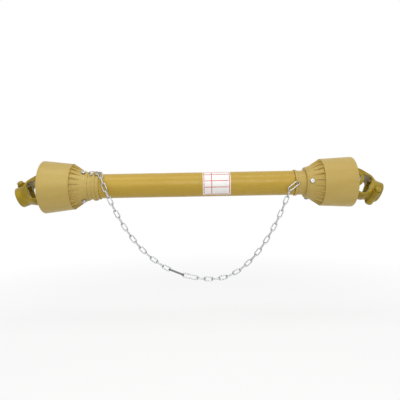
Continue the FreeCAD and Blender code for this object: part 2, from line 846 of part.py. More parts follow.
def roll_pin(side):
    """Spring pin through the hub and the profile tube."""
    name = side + "RollPin"
    long = S.tube_hub_radius * 2 - S.edge_round
    pin = cylinder(name + "Skin", S.roll_pin_radius, long, (roll_pin_station(), -long / 2, NOTHING), "y")
    bore = cylinder(name + "Bore", S.roll_pin_bore, long + S.overcut * 2,
                    (roll_pin_station(), -long / 2 - S.overcut, NOTHING), "y")
    keep(cut(name, pin, bore), side + "_roll_pin", tube_yoke_frame(side))


# ---------------------------------------------------------------- crosses and bearings


def cross(side):
    """Cross with four trunnions on Y and Z, a rounded middle and a hole for the grease nipple."""
    name = side + "Cross"
    reach = S.cap_outer - S.cap_floor - S.running_gap * 2
    pieces = []
    for axis in ("y", "z"):
        across = axis == "y"
        for part, radius, half in (("Pin", S.trunnion_radius, reach),
                                   ("Shoulder", S.shoulder_radius, S.shoulder_end)):
            place = (NOTHING, -half, NOTHING) if across else (NOTHING, NOTHING, -half)
            pieces.append(cylinder(name + part + axis.upper(), radius, half * 2, place, axis))
    ball = doc.addObject("Part::Sphere", name + "Middle")
    bind(ball, {"Radius": S.shoulder_end * 0.92})
    pieces.append(ball)
    nipple_seat = made(name + "NippleSeat", Part.makeCylinder(2.4, 20, Vector(), Vector(0, 1, 1)))
    solid = cut(name, fuse(name + "Solid", pieces), nipple_seat)
    keep(solid, side + "_cross", joint_frame(side) * bend_half(side))


def bend_half(side):
    """The cross turns with the end yoke about the tube yoke's trunnion."""
    droop = float(S.droop_left if side == "left" else S.droop_right)
    return Placement(Vector(), Rotation(Vector(0, 1, 0), droop))


def grease_nipple(side):
    """Nipple in the corner between two trunnions."""
    name = side + "Nipple"
    thread, collar, neck, ball = 8.0, 2.0, 1.6, 1.5
    start = float(S.cap_radius) * math.sqrt(2) + 3.0 - thread
    profile = ((0.0, 2.35, thread), (thread, 3.0, collar), (thread + collar, 1.9, neck),
               (thread + collar + neck, 2.5, ball))
    pieces = []
    for along, radius, length in profile:
        pieces.append(Part.makeCylinder(radius, length + 0.01, Vector(0, 1, 1).normalize() * (start + along),
                                        Vector(0, 1, 1)))
    shape = pieces[0].multiFuse(pieces[1:]).removeSplitter()
    keep(made(name, shape), side + "_grease_nipple", joint_frame(side) * bend_half(side))


def ring_about(radius_in, radius_out, length, start, direction):
    """Plain ring along a direction, from a distance out from the cross's centre."""
    place = direction * float(start)
    skin = Part.makeCylinder(float(radius_out), float(length), place, direction)
    return skin.cut(Part.makeCylinder(float(radius_in), float(length) + 2, place - direction, direction))


def cross_seals(side):
    """A lip seal at the foot of each trunnion."""
    shapes = []
    start = S.shoulder_end + S.seat_gap
    for direction in (Vector(0, 1, 0), Vector(0, -1, 0), Vector(0, 0, 1), Vector(0, 0, -1)):
        shapes.append(ring_about(S.trunnion_radius + S.seat_gap, S.cap_radius - 0.6, S.seal_thickness,
                                 start, direction))
    keep(made(side + "Seals", Part.makeCompound(shapes)), side + "_cross_seals",
         joint_frame(side) * bend_half(side))


def bearing_caps(side, owner, frame):
    """Two closed cups pressed in the fork's ears, on local Z."""
    shapes = []
    for direction in (Vector(0, 0, 1), Vector(0, 0, -1)):
        start = direction * float(S.cap_outer - S.cap_length)
        cup = Part.makeCylinder(float(S.cap_radius), float(S.cap_length), start, direction)
        hollow = Part.makeCylinder(float(S.trunnion_radius + S.running_gap),
                                   float(S.cap_length - S.cap_floor), start, direction)
        dish = Part.makeCylinder(float(S.cap_radius) * 0.62, 0.5,
                                 direction * (float(S.cap_outer) - 0.5), direction)
        shapes.append(cup.cut(hollow).cut(dish))
    keep(made(side + owner + "Caps", Part.makeCompound(shapes)), side + "_" + owner + "_caps", frame)


def snap_rings(side, owner, frame):
    """Two open rings with eyes, in the grooves outside the caps."""
    shapes = []
    for direction in (Vector(0, 0, 1), Vector(0, 0, -1)):
        start = S.cap_outer + S.seat_gap
        outer = S.cap_radius + S.snap_depth - S.seat_gap
        ring = ring_about(S.cap_radius - 2.2, outer, S.snap_thickness, start, direction)
        gap = Part.makeBox(float(outer) * 2, 5.0, float(S.snap_thickness) * 4,
                           Vector(0, -2.5, -float(S.snap_thickness) * 2) + direction * float(start))
        ring = ring.cut(gap)
        for turn in (-1, 1):
            eye_place = Vector(float(S.cap_radius) - 2.8, turn * 4.6, 0) + direction * float(start)
            eye = Part.makeCylinder(2.2, float(S.snap_thickness), eye_place, direction)
            hole = Part.makeCylinder(0.9, float(S.snap_thickness) + 2, eye_place - direction, direction)
            ring = ring.fuse(eye).cut(hole)
        shapes.append(ring.removeSplitter())
    rings = made(side + owner + "SnapRings", Part.makeCompound(shapes))
    keep(rings, side + "_" + owner + "_snap_rings", frame)


# ---------------------------------------------------------------- release pins


def release_pin(side):
    """Pin with a round button. It runs on local Z, from the retainer to the button."""
    name = side + "Pin"
    half = S.boss_half
    shank_low = -half - S.retainer_thickness * 2
    head_low = half - S.head_length + S.pin_travel
    shank = cylinder(name + "Shank", S.pin_radius, head_low - shank_low + S.overcut,
                     (NOTHING, NOTHING, shank_low), "z")
    head = cylinder(name + "Head", S.pocket_radius - 0.3, S.head_length, (NOTHING, NOTHING, head_low), "z")
    dome = doc.addObject("Part::Sphere", name + "Dome")
    bind(dome, {"Radius": S.pocket_radius * 1.9})
    at(dome, NOTHING, NOTHING, head_low + S.head_length - S.pocket_radius * 1.9 + 0.4)
    rounded_head = common(name + "RoundHead", [head, dome])
    groove_low = -half - S.retainer_thickness - S.seat_gap * 3
    groove = made(name + "Groove", ring_about(S.pin_radius - 1, S.pin_radius + S.overcut,
                                              S.retainer_thickness + S.seat_gap * 2, groove_low,
                                              Vector(0, 0, 1)))
    solid = fuse(name + "Solid", [shank, rounded_head])
    keep(cut(name, solid, groove), side + "_release_pin", pin_frame(side))


def pin_retainer(side):
    """Ring in the pin's groove that stops it at the boss."""
    ring = ring_about(S.pin_radius - 0.9, S.pin_radius + 3, S.retainer_thickness,
                      -S.boss_half - S.retainer_thickness - S.seat_gap * 2, Vector(0, 0, 1))
    keep(made(side + "Retainer", ring), side + "_pin_retainer", pin_frame(side))


def pin_spring(side):
    """Coil spring under the button, round the pin."""
    low = S.boss_half - S.pocket_depth + S.spring_wire / 2 + S.seat_gap * 2
    high = S.boss_half - S.head_length + S.pin_travel - S.spring_wire / 2 - S.seat_gap * 4
    radius = float(S.pin_radius + S.pocket_radius) / 2
    pitch = float(high - low) / float(S.spring_turns)
    helix = Part.makeLongHelix(pitch, float(high - low), radius)
    start = Part.Wire(Part.Circle(Vector(radius, 0, 0), Vector(0, 1, pitch / (2 * math.pi * radius)),
                                  float(S.spring_wire) / 2).toShape())
    coil = Part.Wire(helix.Edges).makePipeShell([start], True, True)
    place = pin_frame(side) * Placement(Vector(0, 0, float(low)), Rotation())
    keep(made(side + "Spring", coil), side + "_pin_spring", place)


# ---------------------------------------------------------------- chain


def wire_loop(length, width, wire):
    """Closed loop of round wire, long on X and flat in the XY plane."""
    radius = (width - wire) / 2
    straight = length - width
    half = straight / 2
    path = Part.Wire([
        Part.LineSegment(Vector(-half, -radius, 0), Vector(half, -radius, 0)).toShape(),
        Part.Arc(Vector(half, -radius, 0), Vector(half + radius, 0, 0), Vector(half, radius, 0)).toShape(),
        Part.LineSegment(Vector(half, radius, 0), Vector(-half, radius, 0)).toShape(),
        Part.Arc(Vector(-half, radius, 0), Vector(-half - radius, 0, 0),
                 Vector(-half, -radius, 0)).toShape(),
    ])
    circle = Part.Wire(Part.Circle(Vector(0, -radius, 0), Vector(1, 0, 0), wire / 2).toShape())
    return path.makePipeShell([circle], True, False)


def loop_at(shape, middle, along, normal):
    """Copy a wire loop to its middle, with its long axis and its flat side's normal given."""
    copy = shape.copy()
    copy.Placement = Placement(middle, Rotation(along, normal.cross(along), normal, "XZY"))
    return copy


class ChainCurve:
    """The line that the hanging chain follows, between the two ears.

    It lies on the front of the guard tube above the shaft's middle, and hangs straight down below it.
    """

    def __init__(self, start, end, low_x):
        self.start, self.end, self.low_x = start, end, low_x
        self.start_reach = math.hypot(start.y, start.z)
        self.end_reach = -end.y
        self.sag = 0.0

    def height(self, x):
        if x < self.low_x:
            share = (self.low_x - x) / (self.low_x - self.start.x)
            top, fullness = self.start.z, float(S.left_fullness)
        else:
            share = (x - self.low_x) / (self.end.x - self.low_x)
            top, fullness = self.end.z, float(S.right_fullness)
        rise = (math.cosh(fullness * share) - 1) / (math.cosh(fullness) - 1)
        return -self.sag + (top + self.sag) * rise

    def point(self, x):
        z = self.height(x)
        share = (x - self.start.x) / (self.end.x - self.start.x)
        reach = self.start_reach + (self.end_reach - self.start_reach) * min(max(share, 0.0), 1.0)
        y = -math.sqrt(max(reach * reach - z * z, 1.0)) if z > 0 else -reach
        return Vector(x, y, z)

    def step(self, place, length):
        """The next point of the curve at a straight distance from this one."""
        low, high = place.x, place.x + length
        for _ in range(50):
            middle = (low + high) / 2
            if (self.point(middle) - place).Length < length:
                low = middle
            else:
                high = middle
        return self.point(high)

    def walk(self, spans):
        places = [self.start]
        for length in spans:
            places.append(self.step(places[-1], length))
        return places

    def settle(self, spans):
        """Find the sag at which the chain's whole length just reaches its end."""
        low, high = 20.0, 400.0
        for _ in range(50):
            self.sag = (low + high) / 2
            if self.walk(spans)[-1].x > self.end.x:
                low = self.sag
            else:
                high = self.sag
        return self.walk(spans)


def chain():
    """Collar clips, links and end clips, each a loop of wire through the next."""
    wire, width, gap = float(S.wire), float(S.link_width), float(S.link_gap)
    arc = (width - wire) / 2
    link = wire_loop(float(S.link_length), width, wire)
    end_clip = wire_loop(float(S.end_clip_length), width, wire)
    left_clip = wire_loop(float(S.left_clip_length), width, wire)
    right_clip = wire_loop(float(S.right_clip_length), width, wire)

    # The left clip lies along the shaft, with its inner wire in the ear's hole.
    hole, reach = ear_hole_place("left")
    outward = around_front(S.left_ear_angle)
    left_reach = reach + arc
    clip_tip = float(S.left_clip_length) / 2 - wire / 2
    clip_middle = Vector(hole.x + float(S.left_clip_length) * 0.1, 0, 0) + outward * left_reach
    first = clip_middle + Vector(clip_tip, 0, 0)

    # The right clip hangs in its ear's hole and droops towards the chain.
    hole, reach = ear_hole_place("right")
    droop = math.radians(float(S.right_clip_droop))
    clip_along = Vector(-math.cos(droop), 0, -math.sin(droop))
    near_end = hole - Vector(0, 0, arc)
    far_end = near_end + clip_along * float(S.right_clip_length - S.link_width)
    hang = Vector(-0.23, 0, -0.97).normalize()
    last = far_end + hang * (arc - (wire + gap) / 2)

    spans = [float(S.link_length) - 2 * wire - gap] * int(float(S.left_links))
    clip_span = float(S.end_clip_length) - 2 * wire - gap
    left_count = len(spans)
    spans += [clip_span, clip_span]
    spans += [float(S.link_length) - 2 * wire - gap] * int(float(S.right_links))
    curve = ChainCurve(first, last, float(S.low_point_shift))
    curve.settle(spans)
    lead = (curve.point(first.x + 4) - first).normalize()
    curve.start = first - lead * ((wire + gap) / 2)
    places = curve.settle(spans)

    loops = []
    for index in range(len(spans)):
        low, high = places[index], places[index + 1]
        along = (high - low).normalize()
        middle = (low + high) / 2
        facing = Vector(0, middle.y, middle.z) if middle.z > 0 else Vector(0, -1, 0)
        facing = (facing - along * facing.dot(along)).normalize()
        normal = facing if index % 2 == 0 else along.cross(facing)
        shape = end_clip if index in (left_count, left_count + 1) else link
        loops.append(loop_at(shape, middle, along, normal))

    keep(made("LeftCollarClip", loop_at(left_clip, clip_middle, Vector(1, 0, 0),
                                        Vector(1, 0, 0).cross(outward))), "left_collar_clip")
    keep(made("LeftLinks", Part.makeCompound(loops[:left_count])), "left_chain_links")
    keep(made("LeftEndClip", loops[left_count]), "left_end_clip")
    keep(made("RightEndClip", loops[left_count + 1]), "right_end_clip")
    keep(made("RightLinks", Part.makeCompound(loops[left_count + 2:])), "right_chain_links")
    right_middle = (near_end + far_end) / 2
    keep(made("RightCollarClip", loop_at(right_clip, right_middle, clip_along, Vector(0, 1, 0))),
         "right_collar_clip")
    print("chain sag", round(curve.sag, 2), "chain end", places[-1], "wanted", last)


# ---------------------------------------------------------------- the whole part


def check_document():
    """Stop if any object failed or any sub-part is missing or not valid."""
    for item in doc.Objects:
        if "Invalid" in item.State or "Error" in item.State:
            raise RuntimeError("failed object: " + item.Name + " " + str(item.State))
    for item in nodes:
        shape = item.Shape
        if shape.isNull() or not shape.isValid():
            raise RuntimeError("bad shape: " + item.Label)
        if not shape.Solids:
            raise RuntimeError("no solid: " + item.Label)


def main():
    guard_tubes()
    blank_label()
    for side in SIDES:
        guard_cone(side)
        cone_screws(side)
        bearing_ring(side)
        chain_collar(side)
        tube_yoke(side)
        roll_pin(side)
        cross(side)
        cross_seals(side)
        grease_nipple(side)
        end_yoke(side)
        for owner, frame in (("tube_yoke", tube_yoke_frame(side)), ("end_yoke", yoke_frame(side))):
            bearing_caps(side, owner, frame)
            snap_rings(side, owner, frame)
        release_pin(side)
        pin_retainer(side)
        pin_spring(side)
    drive_tubes()
    chain()
    doc.recompute()
    check_document()
    os.makedirs("parts", exist_ok=True)
    for item in nodes:
        item.Shape.exportStep("parts/" + item.Label + ".step")
        print(item.Label, len(item.Shape.Solids), round(item.Shape.Volume, 1))


main()
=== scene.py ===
"""Looks of a guarded universal joint shaft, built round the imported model."""

import json
import logging
import math
from collections.abc import Sequence
from dataclasses import dataclass
from enum import Enum

import bmesh
import bpy
import numpy as np
from mathutils import Matrix, Quaternion, Vector


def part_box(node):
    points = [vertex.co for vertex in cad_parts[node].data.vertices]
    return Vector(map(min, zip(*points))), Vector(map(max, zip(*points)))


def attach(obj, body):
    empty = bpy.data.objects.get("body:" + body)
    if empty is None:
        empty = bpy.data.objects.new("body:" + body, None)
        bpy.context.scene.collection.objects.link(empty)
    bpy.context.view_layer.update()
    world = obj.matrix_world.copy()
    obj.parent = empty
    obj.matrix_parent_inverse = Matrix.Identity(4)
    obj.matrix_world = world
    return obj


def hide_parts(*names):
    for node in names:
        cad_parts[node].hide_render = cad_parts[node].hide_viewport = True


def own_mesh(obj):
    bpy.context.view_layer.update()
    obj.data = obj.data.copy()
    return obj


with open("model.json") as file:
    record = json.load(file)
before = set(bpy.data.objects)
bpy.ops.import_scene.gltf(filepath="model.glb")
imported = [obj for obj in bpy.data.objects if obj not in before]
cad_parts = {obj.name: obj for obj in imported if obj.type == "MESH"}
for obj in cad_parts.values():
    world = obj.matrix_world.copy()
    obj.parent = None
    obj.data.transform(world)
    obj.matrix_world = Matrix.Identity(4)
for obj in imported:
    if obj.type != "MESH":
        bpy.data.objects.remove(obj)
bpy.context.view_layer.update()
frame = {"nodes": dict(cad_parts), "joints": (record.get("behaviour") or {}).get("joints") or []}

LOG = logging.getLogger("universal_joint_shaft")
MM = 0.001
MERGE_GAP = 0.002 * MM
NOISE_LOW, NOISE_HIGH = 0.3, 0.7
CORNER_SHARE = 0.45
SHARPEST = 1e-6

Colour = tuple[float, float, float]
Place = tuple[float, float, float]
Point = tuple[float, float]
Socket = bpy.types.NodeSocket


class Side(Enum):
    """Which end of the shaft a piece is on, with the sign of its X."""

    LEFT = ("left", -1.0)
    RIGHT = ("right", 1.0)

    @property
    def word(self) -> str:
        """The side's word, as the nodes' names have it."""
        return self.value[0]

    @property
    def sign(self) -> float:
        """-1 on the left and 1 on the right."""
        return self.value[1]


class Slot(Enum):
    """The record's material slots."""

    GUARD = "guard_plastic"
    GUARD_TUBE = "guard_tube_plastic"
    NYLON = "bearing_nylon"
    SCREWS = "zinc_steel"
    LABEL = "label_film"
    PAINT = "yoke_paint"
    GREASED = "greased_steel"
    RUBBER = "seal_rubber"
    # Crosses and caps; their finish is darkened as painted shade for the joints' shaded windows.
    GROUND = "ground_steel"
    SPRING = "spring_steel"
    DARK_WIRE = "dark_wire"
    CHAIN = "chain_zinc"


# ---------------------------------------------------------------- finishes


class Bench:
    """A material's node tree, with short calls for the nodes that the finishes use."""

    def __init__(self, name: str) -> None:
        """Start a material with one shader.

        Args:
            name: The material's name.
        """
        self.material = bpy.data.materials.new(name)
        self.material.use_nodes = True
        self.tree = self.material.node_tree
        self.shader = self.tree.nodes["Principled BSDF"]
        self.place = self.node("ShaderNodeTexCoord").outputs["Object"]

    def node(self, kind: str) -> bpy.types.Node:
        """A new node of that kind."""
        return self.tree.nodes.new(kind)

    def feed(self, source: Socket | float | Sequence[float], target: Socket) -> None:
        """Link a socket, or write a constant, into a socket.

        Args:
            source: Another socket, or a number or vector.
            target: The socket that takes it.
        """
        if isinstance(source, Socket):
            self.tree.links.new(source, target)
        else:
            target.default_value = source

    def constants(self, **values: float | Sequence[float]) -> None:
        """Write constants on the shader's own sockets.

        Args:
            values: Socket names, with _ for spaces, and their values.
        """
        for name, value in values.items():
            self.shader.inputs[name.replace("_", " ")].default_value = value

    def stretched(self, stretch: Sequence[float]) -> Socket:
        """The object's coordinates, scaled along each axis.

        Args:
            stretch: A factor for each axis.

        Returns:
            The scaled coordinates.
        """
        mapping = self.node("ShaderNodeMapping")
        mapping.inputs["Scale"].default_value = stretch
        self.feed(self.place, mapping.inputs["Vector"])
        return mapping.outputs["Vector"]

    def noise(self, size: float, detail: float = 2.0, stretch: Sequence[float] = (1, 1, 1)) -> Socket:
        """Noise with spots of about a given size.

        Args:
            size: The spots' size in metres.
            detail: How many finer layers lie on it.
            stretch: A factor for each axis; above 1 makes the spots shorter there.

        Returns:
            A value round 0.5.
        """
        node = self.node("ShaderNodeTexNoise")
        node.inputs["Scale"].default_value = 1.0 / size
        node.inputs["Detail"].default_value = detail
        self.feed(self.stretched(stretch), node.inputs["Vector"])
        return node.outputs["Fac"]

    def cells(self, size: float) -> Socket:
        """Distance within cells of about a given size, in metres."""
        node = self.node("ShaderNodeTexVoronoi")
        node.inputs["Scale"].default_value = 1.0 / size
        self.feed(self.place, node.inputs["Vector"])
        return node.outputs["Distance"]

    def spread(self, value: Socket, low: float, high: float, to_low: float, to_high: float) -> Socket:
        """Map a value from one range to another, clamped.

        Args:
            value: The value to map.
            low: The start of its range.
            high: The end of its range.
            to_low: What the start becomes.
            to_high: What the end becomes.

        Returns:
            The mapped value.
        """
        node = self.node("ShaderNodeMapRange")
        for name, number in zip(("From Min", "From Max", "To Min", "To Max"), (low, high, to_low, to_high)):
            node.inputs[name].default_value = number
        self.feed(value, node.inputs["Value"])
        return node.outputs["Result"]

    def varied(self, noise: Socket, low: float, high: float) -> Socket:
        """Map the range where most of a noise lies to a range of roughness or the like.

        Args:
            noise: The noise.
            low: The lowest result.
            high: The highest result.

        Returns:
            The mapped value.
        """
        return self.spread(noise, NOISE_LOW, NOISE_HIGH, low, high)

    def math(self, operation: str, first: Socket | float, second: Socket | float = 0.0) -> Socket:
        """One step of arithmetic.

        Args:
            operation: The name of the step, such as ADD.
            first: Its first value.
            second: Its second value.

        Returns:
            The result.
        """
        node = self.node("ShaderNodeMath")
        node.operation = operation
        self.feed(first, node.inputs[0])
        self.feed(second, node.inputs[1])
        return node.outputs["Value"]

    def blend(self, share: Socket | float, first: Socket | Colour, second: Socket | Colour) -> Socket:
        """Mix two colours.

        Args:
            share: How much of the second colour there is.
            first: The colour at 0.
            second: The colour at 1.

        Returns:
            The mixed colour.
        """
        node = self.node("ShaderNodeMix")
        node.data_type = "RGBA"
        self.feed(share, node.inputs[0])
        for source, target in ((first, node.inputs[6]), (second, node.inputs[7])):
            self.feed(source if isinstance(source, Socket) else (*source, 1.0), target)
        return node.outputs[2]

    def bump(self, height: Socket, depth: float, under: Socket | None = None) -> Socket:
        """Bump the surface.

        Args:
            height: The height from 0 to 1.
            depth: How deep the height's whole range is, in metres.
            under: A normal that this one is laid on.

        Returns:
            The bumped normal.
        """
        node = self.node("ShaderNodeBump")
        node.inputs["Distance"].default_value = depth
        self.feed(height, node.inputs["Height"])
        if under is not None:
            self.feed(under, node.inputs["Normal"])
        return node.outputs["Normal"]

    def soft_edge(self, radius: float) -> Socket:
        """A normal that rounds the edges by a radius in metres."""
        node = self.node("ShaderNodeBevel")
        node.samples = 4
        node.inputs["Radius"].default_value = radius
        return node.outputs["Normal"]

    def raised(self) -> Socket:
        """How far the mesh stands proud at each point: 0.5 is flat and above it is a ridge."""
        return self.node("ShaderNodeNewGeometry").outputs["Pointiness"]

    def finish(self, colour: Socket, roughness: Socket, normal: Socket) -> bpy.types.Material:
        """Feed the shader.

        Args:
            colour: The base colour.
            roughness: The roughness.
            normal: The bumped normal.

        Returns:
            The material.
        """
        self.feed(colour, self.shader.inputs["Base Color"])
        self.feed(roughness, self.shader.inputs["Roughness"])
        self.feed(normal, self.shader.inputs["Normal"])
        return self.material


@dataclass(frozen=True)
class MouldedPlastic:
    """Tinted moulded plastic with a fine grain, flow marks and light scuffs."""

    name: str
    tone: Colour
    deep: Colour
    scuff: Colour
    grain: float = 0.7 * MM
    roughness: float = 0.42
    flow: Place = (0.25, 1.0, 1.0)
    scratch_flow: Place = (0.12, 1.0, 1.0)
    cloud: float = 0.06
    scratch: float = 0.004
    ripple: float = 0.012
    ripple_depth: float = 0.12 * MM
    grain_depth: float = 0.05 * MM
    index: float = 1.46
    tint: tuple[float, ...] = (1.0, 0.92, 0.72, 1.0)

    def build(self) -> bpy.types.Material:
        """Make the material.

        Returns:
            The material.
        """
        bench = Bench(self.name)
        cloud = bench.spread(bench.noise(self.cloud, 3.0, self.flow), 0.35, 0.65, 0.0, 1.0)
        colour = bench.blend(cloud, self.tone, self.deep)
        scratch = bench.spread(bench.noise(self.scratch, 6.0, self.scratch_flow), 0.62, 0.74, 0.0, 0.35)
        colour = bench.blend(scratch, colour, self.scuff)
        grain = bench.noise(self.grain, 2.0)
        rough = bench.varied(bench.noise(0.02, 4.0), self.roughness - 0.07, self.roughness + 0.09)
        ripple = bench.bump(bench.noise(self.ripple, 1.0, self.flow), self.ripple_depth)
        bench.constants(IOR=self.index, Specular_Tint=self.tint)
        return bench.finish(colour, rough, bench.bump(grain, self.grain_depth, ripple))


@dataclass(frozen=True)
class PaintedCasting:
    """Glossy paint over a forged surface, thin on the ridges and nicked here and there."""

    name: str
    tone: Colour
    deep: Colour
    thin: Colour
    bare: Colour
    peel: float = 2.6 * MM
    peel_depth: float = 0.04 * MM
    pool: float = 0.022
    nick: float = 0.003
    forging: float = 0.009
    forging_depth: float = 0.25 * MM
    roughness: float = 0.22
    index: float = 1.45
    coat: float = 0.06
    coat_roughness: float = 0.08
    tint: tuple[float, ...] = (1.0, 0.87, 0.5, 1.0)

    def build(self) -> bpy.types.Material:
        """Make the material.

        Returns:
            The material.
        """
        bench = Bench(self.name)
        pooled = bench.spread(bench.noise(self.pool, 4.0), 0.38, 0.64, 0.0, 1.0)
        colour = bench.blend(pooled, self.tone, self.deep)
        ridge = bench.spread(bench.raised(), 0.56, 0.66, 0.0, 0.5)
        colour = bench.blend(ridge, colour, self.thin)
        nick = bench.spread(bench.noise(self.nick, 2.0), 0.76, 0.79, 0.0, 0.8)
        colour = bench.blend(nick, colour, self.bare)
        rough = bench.varied(bench.noise(self.forging, 3.0), self.roughness - 0.05, self.roughness + 0.1)
        forged = bench.bump(bench.noise(self.forging, 2.0), self.forging_depth)
        bench.constants(Coat_Weight=self.coat, Coat_Roughness=self.coat_roughness)
        bench.constants(IOR=self.index, Specular_Tint=self.tint)
        peel = bench.bump(bench.noise(self.peel, 1.0), self.peel_depth, forged)
        return bench.finish(colour, rough, peel)


@dataclass(frozen=True)
class PlatedSteel:
    """Zinc plate, ground steel or dark wire: metal with spangle, draw lines and grime; the ground steel's
    dark tones are painted shade.
    """

    name: str
    tone: Colour
    deep: Colour
    spangle: float = 0.8 * MM
    roughness: float = 0.3
    line_depth: float = 0.02 * MM
    draw_flow: Place = (0.3, 1.0, 1.0)
    draw: float = 0.0006
    grime: float = 0.005
    grime_share: float = 0.45
    edge: float = 0.25 * MM

    def build(self) -> bpy.types.Material:
        """Make the material.

        Returns:
            The material.
        """
        bench = Bench(self.name)
        crystal = bench.spread(bench.cells(self.spangle), 0.1, 0.9, 0.0, 1.0)
        colour = bench.blend(crystal, self.tone, self.deep)
        grime = bench.spread(bench.noise(self.grime, 5.0), 0.55, 0.75, 0.0, 0.6)
        colour = bench.blend(grime, colour, tuple(part * self.grime_share for part in self.deep))
        rough = bench.varied(bench.noise(0.0015, 3.0), self.roughness - 0.08, self.roughness + 0.14)
        drawn = bench.noise(self.draw, 4.0, self.draw_flow)
        lines = bench.bump(drawn, self.line_depth, bench.soft_edge(self.edge))
        bench.constants(Metallic=1.0)
        return bench.finish(colour, rough, lines)


@dataclass(frozen=True)
class SoftSeal:
    """Rubber or nylon: dull, with a fine skin and dust in it."""

    name: str
    tone: Colour
    dust: Colour
    roughness: float = 0.62
    speck: float = 0.004
    skin: float = 0.0004
    skin_depth: float = 0.04 * MM
    edge: float = 0.4 * MM

    def build(self) -> bpy.types.Material:
        """Make the material.

        Returns:
            The material.
        """
        bench = Bench(self.name)
        dusty = bench.spread(bench.noise(self.speck, 5.0), 0.48, 0.7, 0.0, 0.5)
        colour = bench.blend(dusty, self.tone, self.dust)
        rough = bench.varied(bench.noise(0.002, 3.0), self.roughness - 0.1, self.roughness + 0.12)
        skin = bench.bump(bench.noise(self.skin, 2.0), self.skin_depth, bench.soft_edge(self.edge))
        return bench.finish(colour, rough, skin)


@dataclass(frozen=True)
class RuledFilm:
    """White label film with a plain red frame, cross rules and one column rule, and no lettering."""

    name: str
    start: float
    length: float
    low_angle: float
    high_angle: float
    film: Colour = (0.86, 0.855, 0.83)
    rule: Colour = (0.6, 0.028, 0.035)
    dirt: Colour = (0.62, 0.58, 0.48)
    margin: float = 2.6 * MM
    line: float = 1.7 * MM
    row_angles: tuple[float, float, float] = (-14.0, 15.0, 50.0)
    column_share: float = 0.3
    radius: float = 27.5 * MM

    def strip(self, bench: Bench, along: Socket, middle: float, width: float) -> Socket:
        """A stripe across one coordinate.

        Args:
            bench: The material's bench.
            along: The coordinate.
            middle: The stripe's middle.
            width: The stripe's width.

        Returns:
            1 on the stripe and 0 off it.
        """
        away = bench.math("ABSOLUTE", bench.math("SUBTRACT", along, middle))
        return bench.spread(away, width * 0.5, width * 0.42, 0.0, 1.0)

    def window(self, bench: Bench, along: Socket, low: float, high: float) -> Socket:
        """1 between two places along a coordinate, and 0 outside them."""
        return self.strip(bench, along, (low + high) / 2, high - low)

    def build(self) -> bpy.types.Material:
        """Make the material.

        Returns:
            The material.
        """
        bench = Bench(self.name)
        parts = bench.node("ShaderNodeSeparateXYZ")
        bench.feed(bench.place, parts.inputs["Vector"])
        along = parts.outputs["X"]
        turn = bench.math("ARCTAN2", parts.outputs["Z"], bench.math("MULTIPLY", parts.outputs["Y"], -1.0))
        around = bench.math("MULTIPLY", turn, self.radius)
        left, right = self.start + self.margin, self.start + self.length - self.margin
        low = math.radians(self.low_angle) * self.radius + self.margin
        high = math.radians(self.high_angle) * self.radius - self.margin
        columns = [left, left + (right - left) * self.column_share, right]
        rows = [low, high] + [math.radians(angle) * self.radius for angle in self.row_angles]
        inside_x = self.window(bench, along, left - self.line / 2, right + self.line / 2)
        inside_y = self.window(bench, around, low - self.line / 2, high + self.line / 2)
        print_share: Socket | float = 0.0
        for column in columns:
            stripe = bench.math("MULTIPLY", self.strip(bench, along, column, self.line), inside_y)
            print_share = bench.math("MAXIMUM", print_share, stripe)
        for row in rows:
            stripe = bench.math("MULTIPLY", self.strip(bench, around, row, self.line), inside_x)
            print_share = bench.math("MAXIMUM", print_share, stripe)
        worn = bench.spread(bench.noise(0.003, 4.0), 0.25, 0.5, 0.8, 1.0)
        faded = bench.math("MULTIPLY", print_share, worn)
        dirty = bench.spread(bench.noise(0.012, 5.0), 0.5, 0.75, 0.0, 0.25)
        colour = bench.blend(faded, bench.blend(dirty, self.film, self.dirt), self.rule)
        rough = bench.varied(bench.noise(0.01, 3.0), 0.3, 0.45)
        return bench.finish(colour, rough, bench.bump(bench.noise(0.006, 2.0), 0.04 * MM))


@dataclass(frozen=True)
class StudioPaper:
    """Pale paper floor that fades into the white room away from the object."""

    name: str = "studio_paper"
    tone: float = 0.9
    fade_start: float = 0.45
    fade_end: float = 1.1
    glow: float = 0.8
    fibre: float = 0.003
    shade: float = 0.985

    def build(self) -> bpy.types.Material:
        """Make the material.

        Returns:
            The material.
        """
        bench = Bench(self.name)
        fibre = bench.varied(bench.noise(self.fibre, 4.0), 0.0, 1.0)
        colour = bench.blend(fibre, (self.tone,) * 3, (self.tone * self.shade,) * 3)
        bench.finish(colour, bench.spread(fibre, 0.0, 1.0, 0.85, 0.95), bench.bump(fibre, 0.05 * MM))
        length = bench.node("ShaderNodeVectorMath")
        length.operation = "LENGTH"
        bench.feed(bench.place, length.inputs[0])
        away = bench.spread(length.outputs["Value"], self.fade_start, self.fade_end, self.glow, 1.0)
        rays = bench.node("ShaderNodeLightPath").outputs
        seen = bench.math("MAXIMUM", rays["Is Camera Ray"], rays["Is Glossy Ray"])
        seen = bench.math("MAXIMUM", seen, rays["Is Transmission Ray"])
        white = bench.node("ShaderNodeEmission")
        mixed = bench.node("ShaderNodeMixShader")
        bench.feed(bench.math("MULTIPLY", away, seen), mixed.inputs[0])
        bench.feed(bench.shader.outputs["BSDF"], mixed.inputs[1])
        bench.feed(white.outputs["Emission"], mixed.inputs[2])
        output = bench.tree.nodes["Material Output"]
        bench.feed(mixed.outputs["Shader"], output.inputs["Surface"])
        return bench.material


